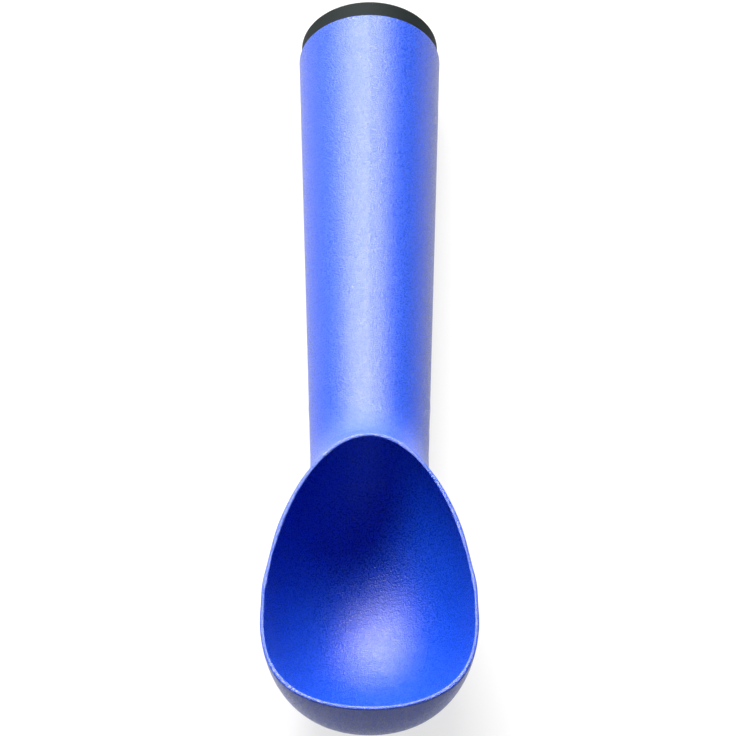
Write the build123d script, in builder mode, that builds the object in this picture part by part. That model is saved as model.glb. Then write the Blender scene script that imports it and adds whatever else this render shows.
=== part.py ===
# Ice cream scoop: a one-piece cast dipper whose hollow handle holds a heat-carrying liquid,
# closed at the butt by a moulded plug with a seal ring. Millimetres, +Z up.
# The scoop lies level on its belly and its butt. X is across the bowl, +Y runs along the
# handle to the butt, and the lip points to -Y. The origin is on the resting plane, midway
# between the lip and the end of the cap.

import os
from bisect import bisect
from math import atan2, cos, degrees, hypot, radians, sin, sqrt

from build123d import *

# Overall sizes
overall_length = 192.0
butt_radius = 16.1
neck_radius = 12.6
cap_thickness = 4.8
cap_radius = 15.55

# Bowl, seen from above
bowl_width = 44.6
mouth_length = 63.6
lip_to_widest = 21.8
lip_squareness = 2.5
mouth_taper = 1.75

# Bowl, seen from the side, as heights above the resting plane
lip_height = 26.0
arch_height = 35.2
rim_sag = 1.0
arch_slope_length = 15.2
arch_slope_power = 2.3
neck_length = 8.0
belly_to_neck_rise = 3.45
belly_squareness = 2.1
belly_lift = 0.07
fan_setback = 3.0
fan_over_lip = 20.0

# Hollow of the bowl
rim_wall = 0.8
arch_wall = 0.65
floor_wall = 2.7
arch_hollow_width = 32.0

# Handle bore, seal and plug
bore_wall = 3.2
bore_from_arch = 6.0
bore_cone = 4.0
bore_tip = 4.0
seat_depth = 12.0
seat_radius = 13.2
seat_clearance = 0.15
plug_wall = 3.0
plug_end_gap = 0.3
groove_width = 2.6
groove_depth = 1.5
groove_setback = 3.4
ring_play = 0.3
ring_chamfer = 0.4
seal_clearance = 0.05
fill_clearance = 0.1
air_space = 5.0

# Edges
rim_round = 0.3
butt_chamfer = 0.3
cap_round = 0.8

# Construction: points on each outline, clearance of the outlines' tops under a fan's pivot,
# run of the rim's cut past the lip and the arch, and the gap closed where two forms join
quarter_steps = 100
side_points = 16
neck_steps = 2
halving_steps = 40
crown_fullness = 0.8
outer_crown_gap = 2.0
hollow_crown_gap = 0.5
trim_margin = 6.0
join_tolerance = 0.001
ellipse = sqrt(0.5)

# Places along the scoop
lip_y = -overall_length / 2
widest_y = lip_y + lip_to_widest
arch_y = lip_y + mouth_length
butt_y = overall_length / 2 - cap_thickness
axis_height = butt_radius
waist_y = arch_y + arch_slope_length / 2
arch_foot_y = arch_y + arch_slope_length
join_y = arch_foot_y + neck_length
fan_y = widest_y + fan_setback
fan_height = lip_height + fan_over_lip
end_y = overall_length / 2
bore_y = arch_y + bore_from_arch
seat_y = butt_y - seat_depth
plug_y = seat_y + plug_end_gap
spigot_radius = seat_radius - seat_clearance
groove_radius = spigot_radius - groove_depth
groove_y = butt_y - groove_setback - groove_width / 2
handle_axis = Axis((0, 0, axis_height), (0, 1, 0))


def rim_height(y):
    """Height of the rim's side line, a shallow dip between the lip and the arch."""
    share = (y - lip_y) / mouth_length
    return lip_height + (arch_height - lip_height) * share - 4 * rim_sag * share * (1 - share)


def mouth_half_width(y, wall=0.0):
    """Half the width of the mouth at y, inside a wall where one is given."""
    half = bowl_width / 2 - wall
    if y < widest_y:
        share = min(1.0, (widest_y - y) / (lip_to_widest - wall))
        return half * (1 - share ** lip_squareness) ** (1 / lip_squareness)
    share = min(1.0, (y - widest_y) / (mouth_length - lip_to_widest - wall))
    return half * sqrt(1 - share ** mouth_taper)


def handle_radius(y):
    """Radius of the straight taper from the waist under the arch to the butt."""
    share = max(0.0, (y - waist_y) / (butt_y - waist_y))
    return neck_radius + (butt_radius - neck_radius) * share


def hollow_circle():
    """Place along the scoop and radius of the hollow's arc, through lip, floor and arch."""
    lip_rise = lip_height - floor_wall
    arch_rise = arch_height - floor_wall
    lip_in = lip_y + rim_wall
    arch_in = arch_y - arch_wall
    spread = arch_rise - lip_rise
    lever = arch_rise * lip_in - lip_rise * arch_in
    rest = arch_rise * lip_in ** 2 - lip_rise * arch_in ** 2 - arch_rise * lip_rise * spread
    middle = (lever + sqrt(lever ** 2 - spread * rest)) / spread
    return middle, ((lip_in - middle) ** 2 + lip_rise ** 2) / (2 * lip_rise)


def rim_distance(pivot_y, pivot_height, tilt):
    """Distance from a fan's pivot down to the rim line, found by halving."""
    near = 0.0
    far = overall_length
    for _ in range(halving_steps):
        middle = (near + far) / 2
        y = pivot_y - middle * sin(radians(tilt))
        if pivot_height - middle * cos(radians(tilt)) > rim_height(y):
            near = middle
        else:
            far = middle
    return near


def belly_distance(tilt):
    """Distance from the outer fan's pivot to the belly's curve, along the middle."""
    near = fan_height - lip_height
    far = overall_length
    for _ in range(halving_steps):
        middle = (near + far) / 2
        forward = middle * sin(radians(tilt)) / (fan_y - lip_y)
        down = (middle * cos(radians(tilt)) - fan_height + lip_height) / (lip_height - belly_lift)
        if down < 0 or forward ** belly_squareness + down ** belly_squareness < 1:
            near = middle
        else:
            far = middle
    return near


def fullness_through(across, along):
    """Fullness of a quarter that passes a point, given as shares of its width and length."""
    return (across + along - 1) / (2 * sqrt((1 - across) * (1 - along)))


def share_along(across, fullness):
    """Share of its length at which a quarter has narrowed to a share of its half width."""
    side = fullness * sqrt(1 - across)
    return 1 - (sqrt(side ** 2 + across) - side) ** 2


def cross_plane(y, height):
    """Upright plane across the scoop, its own Y axis pointing up."""
    return Plane(origin=(0, y, height), x_dir=(1, 0, 0), z_dir=(0, -1, 0))


def fan_plane(pivot_y, pivot_height, tilt, drop):
    """Plane through a cross line at the pivot, swung to the front by tilt degrees."""
    swing = radians(tilt)
    origin = (0, pivot_y - drop * sin(swing), pivot_height - drop * cos(swing))
    return Plane(origin=origin, x_dir=(1, 0, 0), z_dir=(0, -cos(swing), sin(swing)))


def quarter(half_width, reach, fullness):
    """Points along a conic quarter, from its widest place to its end."""
    points = []
    for step in range(quarter_steps + 1):
        t = step / quarter_steps
        middle = 2 * fullness * t * (1 - t)
        whole = (1 - t) ** 2 + middle + t ** 2
        points.append((half_width * ((1 - t) ** 2 + middle) / whole, reach * (t ** 2 + middle) / whole))
    return points


def oval(plane, half_width, below, above, fullness_below, fullness_above):
    """Smooth closed outline along four conic quarters, a true ellipse at fullness 0.7071."""
    side = quarter(half_width, above, fullness_above)[::-1] + quarter(half_width, -below, fullness_below)[1:]
    runs = [0.0]
    for near, far in zip(side, side[1:]):
        runs.append(runs[-1] + hypot(far[0] - near[0], far[1] - near[1]))
    even = []
    for step in range(1, side_points):
        run = runs[-1] * step / side_points
        after = bisect(runs, run)
        share = (run - runs[after - 1]) / (runs[after] - runs[after - 1])
        near, far = side[after - 1], side[after]
        even.append((near[0] + (far[0] - near[0]) * share, near[1] + (far[1] - near[1]) * share))
    mirrored = [(-across, up) for across, up in reversed(even)]
    ring = [plane.from_local_coords((*place, 0)) for place in [side[0], *even, side[-1], *mirrored]]
    spacing = [step / len(ring) for step in range(len(ring) + 1)]
    return Face(Wire([Edge.make_spline(ring, periodic=True, parameters=spacing)]))


# Outer form, from the neck forward: round neck, arch, back of the bowl, nose
outer_sections = []
for step in range(neck_steps + 1):
    y = join_y + (arch_foot_y - join_y) * step / neck_steps
    radius = handle_radius(y)
    outer_sections.append(oval(cross_plane(y, axis_height), radius, radius, radius, ellipse, ellipse))

# Slope under the arch: share of the slope still ahead, flare of the sides, lift of the widest
# place over the axis, sink of the belly under the neck, fullness of the upper half
slope_stations = (
    (0.74, 0.0, 0.0, 0.0, ellipse),
    (0.49, 0.0, 0.1, 0.0, 0.712),
    (0.24, 0.04, 0.5, 0.1, 0.725),
    (0.0, 0.15, 1.2, 0.25, 0.745),
)
for ahead, flare, lift, sink, full_above in slope_stations:
    y = arch_y + arch_slope_length * ahead
    radius = handle_radius(y)
    climb = (arch_height - axis_height - neck_radius) * (1 - ahead) ** arch_slope_power
    plane = cross_plane(y, axis_height + lift)
    outer_sections.append(
        oval(plane, radius + flare, radius + lift + sink, radius + climb - lift, ellipse, full_above)
    )

# Back of the bowl: share of the way from the arch to the fan, swell of the sides past the
# rim, depth of the widest place under the rim, crown over the rim, fullness of the lower half
back_stations = (
    (0.129, 3.85, 15.4, 6.1, 0.72),
    (0.268, 2.37, 12.05, 8.85, 0.745),
    (0.433, 1.58, 8.4, 10.5, 0.77),
    (0.613, 0.73, 5.5, 12.0, 0.79),
    (0.807, 0.33, 2.9, 13.7, 0.8),
)
for share, swell, depth, crown, full_below in back_stations:
    y = arch_y + (fan_y - arch_y) * share
    climb = (y - fan_y) / (arch_foot_y - fan_y)
    bottom = belly_lift + belly_to_neck_rise * climb ** 2 * (3 - 2 * climb)
    centre = rim_height(y) - depth
    rim_across = mouth_half_width(y)
    full_above = fullness_through(rim_across / (rim_across + swell), depth / (depth + crown))
    plane = cross_plane(y, centre)
    outer_sections.append(
        oval(plane, rim_across + swell, centre - bottom, depth + crown, full_below, full_above)
    )

# Nose: share of the tilt from upright to the lip, fullness; each outline passes through the
# mouth's edge
lip_tilt = degrees(atan2(fan_y - lip_y, fan_height - lip_height))
nose_stations = ((0, 0.8), (0.2, 0.81), (0.39, 0.825), (0.57, 0.84), (0.725, 0.86), (0.87, 0.88))
for share, full in nose_stations:
    tilt = lip_tilt * share
    reach = belly_distance(tilt)
    rim = rim_distance(fan_y, fan_height, tilt)
    across = mouth_half_width(fan_y - rim * sin(radians(tilt))) / (bowl_width / 2)
    along = share_along(across, full)
    drop = (rim - along * reach) / (1 - along)
    plane = fan_plane(fan_y, fan_height, tilt, drop)
    outer_sections.append(
        oval(plane, bowl_width / 2, reach - drop, drop - outer_crown_gap, full, crown_fullness)
    )

# Lip: share of the tilt, share of the reach at which the outline is widest, fullness
lip_stations = ((1, 0.173, 0.9), (1.12, 0.153, 0.91))
for share, wide_share, full in lip_stations:
    reach = (fan_y - lip_y) / sin(radians(lip_tilt * share))
    drop = reach * wide_share
    plane = fan_plane(fan_y, fan_height, lip_tilt * share, drop)
    outer_sections.append(
        oval(plane, bowl_width / 2, reach - drop, drop - outer_crown_gap, full, crown_fullness)
    )

# Hollow of the bowl: share of the swing from the lip round to the arch, share of the radius at
# which the outline is widest, fullness
hollow_stations = (
    (-0.03, 0.363, 0.95),
    (0.03, 0.363, 0.935),
    (0.1, 0.291, 0.91),
    (0.185, 0.209, 0.885),
    (0.28, 0.152, 0.865),
    (0.4, 0.12, 0.84),
    (0.535, 0.111, 0.808),
    (0.665, 0.101, 0.77),
    (0.775, 0.092, 0.74),
    (0.855, 0.079, 0.72),
    (0.92, 0.066, 0.7),
    (0.98, 0.054, 0.685),
    (1.04, 0.038, 0.66),
)
hollow_y, hollow_radius = hollow_circle()
hollow_height = floor_wall + hollow_radius
hollow_lip_tilt = degrees(atan2(hollow_y - lip_y, hollow_height - lip_height))
hollow_arch_tilt = degrees(atan2(hollow_y - arch_y, hollow_height - arch_height))
hollow_sections = []
for share, wide_share, full in hollow_stations:
    tilt = hollow_lip_tilt + (hollow_arch_tilt - hollow_lip_tilt) * share
    drop = hollow_radius * wide_share
    if share < 0:
        half_width = bowl_width / 2 - rim_wall
    elif share > 1:
        half_width = arch_hollow_width / 2
    else:
        rim = rim_distance(hollow_y, hollow_height, tilt)
        half_width = mouth_half_width(hollow_y - rim * sin(radians(tilt)), rim_wall)
        if rim > drop:
            half_width /= share_along((rim - drop) / (hollow_radius - drop), full)
    plane = fan_plane(hollow_y, hollow_height, tilt, drop)
    hollow_sections.append(
        oval(plane, half_width, hollow_radius - drop, drop - hollow_crown_gap, full, crown_fullness)
    )

with BuildPart() as bowl_form:
    loft(sections=outer_sections)

with BuildPart() as handle_form:
    with BuildSketch(Plane.YZ):
        Polygon(
            (join_y, axis_height),
            (join_y, axis_height + handle_radius(join_y)),
            (butt_y, axis_height + butt_radius),
            (butt_y, axis_height),
            align=None,
        )
    revolve(axis=handle_axis)

with BuildPart() as scoop_body:
    add(bowl_form.part.solid().fuse(handle_form.part.solid(), tol=join_tolerance))
    # Rim: everything above the mouth's side line is cut away
    with BuildSketch(Plane.YZ):
        with BuildLine():
            front_y = lip_y - trim_margin
            middle_y = (lip_y + arch_y) / 2
            back_y = arch_y + trim_margin
            clear_height = 2 * arch_height
            ThreePointArc(*[(y, rim_height(y)) for y in (front_y, middle_y, back_y)])
            Polyline(
                (back_y, rim_height(back_y)),
                (back_y, clear_height),
                (front_y, clear_height),
                (front_y, rim_height(front_y)),
            )
        make_face()
    extrude(amount=bowl_width, both=True, mode=Mode.SUBTRACT)
    loft(sections=hollow_sections, mode=Mode.SUBTRACT)
    # The rim's outer edge is rounded, its inner edge is left crisp to cut the ice cream
    rim_face = scoop_body.faces().filter_by(GeomType.CYLINDER).sort_by(Axis.Y)[0]
    fillet(rim_face.edges().sort_by(lambda edge: edge.bounding_box().min.Y)[0], rim_round)
    # Bore for the liquid, coned towards the bowl, with a wider seat for the plug
    with BuildSketch(Plane.YZ):
        with BuildLine():
            Polyline(
                (bore_y, axis_height),
                (bore_y, axis_height + bore_tip),
                (bore_y + bore_cone, axis_height + handle_radius(bore_y + bore_cone) - bore_wall),
                (seat_y, axis_height + handle_radius(seat_y) - bore_wall),
                (seat_y, axis_height + seat_radius),
                (butt_y, axis_height + seat_radius),
                (butt_y, axis_height),
                (bore_y, axis_height),
            )
        make_face()
    revolve(axis=handle_axis, mode=Mode.SUBTRACT)
    # The butt has a fine chamfer on its outer edge
    butt_edges = scoop_body.edges().filter_by(GeomType.CIRCLE).filter_by_position(Axis.Y, butt_y, butt_y)
    chamfer(butt_edges.sort_by(SortBy.RADIUS)[-1], butt_chamfer)

with BuildPart() as end_cap:
    with BuildSketch(Plane.YZ):
        with BuildLine():
            Polyline(
                (plug_y, axis_height + spigot_radius - plug_wall),
                (plug_y, axis_height + spigot_radius),
                (groove_y - groove_width / 2, axis_height + spigot_radius),
                (groove_y - groove_width / 2, axis_height + groove_radius),
                (groove_y + groove_width / 2, axis_height + groove_radius),
                (groove_y + groove_width / 2, axis_height + spigot_radius),
                (butt_y, axis_height + spigot_radius),
                (butt_y, axis_height + cap_radius),
                (end_y, axis_height + cap_radius),
                (end_y, axis_height),
                (end_y - plug_wall, axis_height),
                (end_y - plug_wall, axis_height + spigot_radius - plug_wall),
                (plug_y, axis_height + spigot_radius - plug_wall),
            )
        make_face()
    revolve(axis=handle_axis)
    rim = end_cap.edges().filter_by(GeomType.CIRCLE).filter_by_position(Axis.Y, end_y, end_y)
    fillet(rim, cap_round)

with BuildPart() as seal_ring:
    with BuildSketch(Plane.YZ) as ring_section:
        with Locations((groove_y, axis_height + (groove_radius + seat_radius) / 2)):
            Rectangle(groove_width - 2 * ring_play, seat_radius - groove_radius - 2 * seal_clearance)
        chamfer(ring_section.vertices(), ring_chamfer)
    revolve(axis=handle_axis)

with BuildPart() as heat_transfer_fluid:
    with BuildSketch(Plane.YZ):
        with BuildLine():
            fill_y = bore_y + fill_clearance
            fill_end_y = seat_y - air_space
            fill_wall = bore_wall + fill_clearance
            Polyline(
                (fill_y, axis_height),
                (fill_y, axis_height + bore_tip - fill_clearance),
                (bore_y + bore_cone, axis_height + handle_radius(bore_y + bore_cone) - fill_wall),
                (fill_end_y, axis_height + handle_radius(fill_end_y) - fill_wall),
                (fill_end_y, axis_height),
                (fill_y, axis_height),
            )
        make_face()
    revolve(axis=handle_axis)

scoop_body.part.label = "scoop_body"
end_cap.part.label = "end_cap"
seal_ring.part.label = "seal_ring"
heat_transfer_fluid.part.label = "heat_transfer_fluid"

os.makedirs("parts", exist_ok=True)
export_step(scoop_body.part, "parts/scoop_body.step")
export_step(end_cap.part, "parts/end_cap.step")
export_step(seal_ring.part, "parts/seal_ring.step")
export_step(heat_transfer_fluid.part, "parts/heat_transfer_fluid.step")
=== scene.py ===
# Looks for the ice cream scoop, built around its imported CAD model. Metres, +Z up.

import math

import bpy
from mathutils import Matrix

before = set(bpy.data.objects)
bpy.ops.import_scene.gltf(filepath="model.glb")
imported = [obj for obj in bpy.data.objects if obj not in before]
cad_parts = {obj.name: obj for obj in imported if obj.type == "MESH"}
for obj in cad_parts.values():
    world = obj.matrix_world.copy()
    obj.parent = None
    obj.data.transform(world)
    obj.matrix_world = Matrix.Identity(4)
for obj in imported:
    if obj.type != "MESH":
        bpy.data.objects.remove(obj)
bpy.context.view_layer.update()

# Camera: the photograph's viewpoint, fitted to the cap, the handle and the bowl
CAMERA_PLACE = (0.0, -0.6016, 0.7516)
CAMERA_PITCH_DEG = 50.69  # below the horizon
SENSOR_MM = 36.0
IMAGE_PIXELS = 736.0
FOCAL_PIXELS = 4394.0
SHIFT_PIXELS = (-1.5, 0.5)
NEAR_CLIP = 0.01

camera_data = bpy.data.cameras.new("camera")
camera_data.sensor_width = SENSOR_MM
camera_data.lens = FOCAL_PIXELS * SENSOR_MM / IMAGE_PIXELS
camera_data.shift_x = SHIFT_PIXELS[0] / IMAGE_PIXELS
camera_data.shift_y = SHIFT_PIXELS[1] / IMAGE_PIXELS
camera_data.clip_start = NEAR_CLIP
camera = bpy.data.objects.new("camera", camera_data)
camera.location = CAMERA_PLACE
camera.rotation_euler = (math.radians(90.0 - CAMERA_PITCH_DEG), 0.0, 0.0)
bpy.context.scene.collection.objects.link(camera)
bpy.context.scene.camera = camera


def new_material(name):
    """An empty node material with its output, ready for a shader."""
    material = bpy.data.materials.new(name)
    material.use_nodes = True
    material.node_tree.nodes.clear()
    output = material.node_tree.nodes.new("ShaderNodeOutputMaterial")
    return material, material.node_tree.nodes, material.node_tree.links, output


def add(nodes, kind, **values):
    """A node with some of its properties or input defaults set."""
    node = nodes.new(kind)
    for key, value in values.items():
        if hasattr(node, key):
            setattr(node, key, value)
        else:
            node.inputs[key.replace("_", " ")].default_value = value
    return node


def grained_material(name, shading, noise, colours, noise_span=(0.0, 1.0)):
    """A Principled material whose colour follows a noise that stays on the object."""
    material, nodes, links, output = new_material(name)
    shader = add(nodes, "ShaderNodeBsdfPrincipled", **shading)
    place = add(nodes, "ShaderNodeTexCoord")
    grain = add(nodes, "ShaderNodeTexNoise", **noise)
    links.new(place.outputs["Object"], grain.inputs["Vector"])
    ramp = add(nodes, "ShaderNodeValToRGB")
    for element, position, colour in zip(ramp.color_ramp.elements, noise_span, colours):
        element.position = position
        element.color = colour
    links.new(grain.outputs["Fac"], ramp.inputs["Fac"])
    links.new(ramp.outputs["Color"], shader.inputs["Base Color"])
    links.new(shader.outputs["BSDF"], output.inputs["Surface"])
    return material, nodes, links, shader, grain.outputs["Fac"]


def vary_roughness(nodes, links, shader, grain, roughness, noise_span=(0.0, 1.0)):
    """Makes the sheen follow the same grain as the colour."""
    rough = add(nodes, "ShaderNodeMapRange", From_Min=noise_span[0], From_Max=noise_span[1],
                To_Min=roughness[0], To_Max=roughness[1])
    links.new(grain, rough.inputs["Value"])
    links.new(rough.outputs["Result"], shader.inputs["Roughness"])


def raise_grain(nodes, links, shader, grain, strength, depth):
    """Makes the grain stand out, and returns its bump node."""
    bump = add(nodes, "ShaderNodeBump", Strength=strength, Distance=depth)
    links.new(grain, bump.inputs["Height"])
    links.new(bump.outputs["Normal"], shader.inputs["Normal"])
    return bump


# Blue hard coat: satin blue pigment under a glossy seal, grained like a fine casting
COAT_GRAIN_SIZE = 0.00034
COAT_NOISE_SPAN = (0.4, 0.6)  # noise below or above it takes the end values
COAT_SHADING = {"IOR": 1.5, "Specular_IOR_Level": 0.8}
COAT_NOISE = {"Scale": 1.0 / COAT_GRAIN_SIZE, "Detail": 2.0, "Roughness": 0.7}
DEEP_BLUE = (0.002, 0.045, 0.44, 1.0)
BRIGHT_BLUE = (0.004, 0.08, 0.68, 1.0)
COAT_ROUGHNESS = (0.18, 0.5)
COAT_DEPTH = 0.00015
EDGE_SOFTNESS = 0.0006  # how far from an edge, such as the rim's, the shading rounds it
EDGE_SAMPLES = 6
coat, nodes, links, shader, grain = grained_material(
    "blue_coat", COAT_SHADING, COAT_NOISE, (DEEP_BLUE, BRIGHT_BLUE), COAT_NOISE_SPAN)
vary_roughness(nodes, links, shader, grain, COAT_ROUGHNESS, COAT_NOISE_SPAN)
bump = raise_grain(nodes, links, shader, grain, strength=1.0, depth=COAT_DEPTH)
soft_edge = add(nodes, "ShaderNodeBevel", samples=EDGE_SAMPLES, Radius=EDGE_SOFTNESS)
links.new(soft_edge.outputs["Normal"], bump.inputs["Normal"])

# Black moulded cap: fine spark-eroded texture
CAP_SHADING = {"IOR": 1.5, "Specular_IOR_Level": 0.1}
CAP_NOISE = {"Scale": 1800.0, "Detail": 3.0, "Roughness": 0.6}
CAP_DARK = (0.005, 0.008, 0.008, 1.0)
CAP_PALE = (0.012, 0.018, 0.018, 1.0)
CAP_ROUGHNESS = (0.6, 0.75)
CAP_DEPTH = 0.00005
cap, nodes, links, shader, grain = grained_material(
    "cap_black", CAP_SHADING, CAP_NOISE, (CAP_DARK, CAP_PALE))
vary_roughness(nodes, links, shader, grain, CAP_ROUGHNESS)
raise_grain(nodes, links, shader, grain, strength=0.4, depth=CAP_DEPTH)

# Seal ring: black rubber with a faint bloom, hidden in the handle
RUBBER_SHADING = {"IOR": 1.5, "Roughness": 0.7}
RUBBER_NOISE = {"Scale": 900.0, "Detail": 4.0}
RUBBER_DARK = (0.008, 0.008, 0.008, 1.0)
RUBBER_PALE = (0.03, 0.03, 0.03, 1.0)
rubber = grained_material(
    "seal_rubber", RUBBER_SHADING, RUBBER_NOISE, (RUBBER_DARK, RUBBER_PALE))[0]

# Liquid in the handle: clear and faintly blue, hidden by the casting
FLUID_SHADING = {"IOR": 1.34, "Transmission_Weight": 0.9, "Roughness": 0.05}
FLUID_NOISE = {"Scale": 40.0, "Detail": 2.0}
FLUID_DEEP = (0.62, 0.74, 0.8, 1.0)
FLUID_PALE = (0.8, 0.88, 0.92, 1.0)
fluid = grained_material(
    "fluid", FLUID_SHADING, FLUID_NOISE, (FLUID_DEEP, FLUID_PALE))[0]

MATERIAL_OF = {
    "scoop_body": coat,
    "end_cap": cap,
    "seal_ring": rubber,
    "heat_transfer_fluid": fluid,
}
for name, material in MATERIAL_OF.items():
    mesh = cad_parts[name].data
    mesh.materials.clear()
    mesh.materials.append(material)

# Floor: pale paper, white where the camera or a reflection sees it, and it keeps the shadow
FLOOR_SIZE = 6.0
BOUNCE_ALBEDO = 0.2  # what scattered light meets
SHOWN_ALBEDO = 0.22
SHOWN_GLOW = 0.74
WHITE = (1.0, 1.0, 1.0)
bpy.ops.mesh.primitive_plane_add(size=FLOOR_SIZE, location=(0.0, 0.0, 0.0))
floor = bpy.context.active_object
floor.name = "floor"
material, nodes, links, output = new_material("floor")


def paper(albedo, glow):
    """Matt paper of one albedo with a glow of its own."""
    matt = add(nodes, "ShaderNodeBsdfDiffuse", Color=(albedo, albedo, albedo, 1.0))
    light = add(nodes, "ShaderNodeEmission", Color=(*WHITE, 1.0), Strength=glow)
    both = nodes.new("ShaderNodeAddShader")
    links.new(matt.outputs["BSDF"], both.inputs[0])
    links.new(light.outputs["Emission"], both.inputs[1])
    return both.outputs["Shader"]


def either(first, second):
    """1 where one of two ray tests is 1."""
    test = add(nodes, "ShaderNodeMath", operation="MAXIMUM")
    links.new(first, test.inputs[0])
    links.new(second, test.inputs[1])
    return test.outputs["Value"]


path = nodes.new("ShaderNodeLightPath")
mirrored = either(path.outputs["Is Glossy Ray"], path.outputs["Is Transmission Ray"])
seen = nodes.new("ShaderNodeMixShader")
links.new(either(path.outputs["Is Camera Ray"], mirrored), seen.inputs["Fac"])
links.new(paper(BOUNCE_ALBEDO, 0.0), seen.inputs[1])
links.new(paper(SHOWN_ALBEDO, SHOWN_GLOW), seen.inputs[2])
links.new(seen.outputs["Shader"], output.inputs["Surface"])
floor.data.materials.append(material)

# One large softbox overhead and behind the handle, with a soft surround and a panel low behind
AIM = (0.0, -0.02, 0.02)
OVERHEAD = (-0.27, 0.62, 1.26)
LOW_BEHIND = (-0.2, 1.3, 0.35)
WARM_WHITE = (1.0, 0.95, 0.93)
LIGHTS = (  # name, place, width, height, power in watts, colour
    ("softbox", OVERHEAD, 1.2, 0.4, 48.0, WARM_WHITE),
    ("surround", OVERHEAD, 2.4, 0.5, 18.0, WHITE),
    ("panel", LOW_BEHIND, 1.2, 0.8, 18.0, WHITE),
)
for name, place, width, height, power, colour in LIGHTS:
    data = bpy.data.lights.new(name, "AREA")
    data.shape = "RECTANGLE"
    data.size = width
    data.size_y = height
    data.energy = power
    data.color = colour
    light = bpy.data.objects.new(name, data)
    light.location = place
    aim = [t - p for t, p in zip(AIM, place)]
    tilt = math.atan2(math.hypot(aim[0], aim[1]), -aim[2])
    turn = math.atan2(aim[1], aim[0]) - math.pi / 2
    light.rotation_euler = (tilt, 0.0, turn)
    bpy.context.scene.collection.objects.link(light)

# Studio: dim in front of the bowl, paler behind and above
FRONT_EDGE, BACK_EDGE = 0.1, 0.8  # along the world's generated Y
FRONT_STRENGTH = 0.005
BACK_STRENGTH = 0.06
world = bpy.data.worlds.new("world")
bpy.context.scene.world = world
world.use_nodes = True
nodes = world.node_tree.nodes
links = world.node_tree.links
nodes.clear()
output = nodes.new("ShaderNodeOutputWorld")
place = nodes.new("ShaderNodeTexCoord")
axes = nodes.new("ShaderNodeSeparateXYZ")
links.new(place.outputs["Generated"], axes.inputs["Vector"])
level = add(nodes, "ShaderNodeMapRange", From_Min=FRONT_EDGE, From_Max=BACK_EDGE,
            To_Min=FRONT_STRENGTH, To_Max=BACK_STRENGTH)
links.new(axes.outputs["Y"], level.inputs["Value"])
sky = add(nodes, "ShaderNodeBackground", Color=(*WHITE, 1.0))
links.new(level.outputs["Result"], sky.inputs["Strength"])
links.new(sky.outputs["Background"], output.inputs["Surface"])

bpy.context.scene.view_settings.view_transform = "Standard"
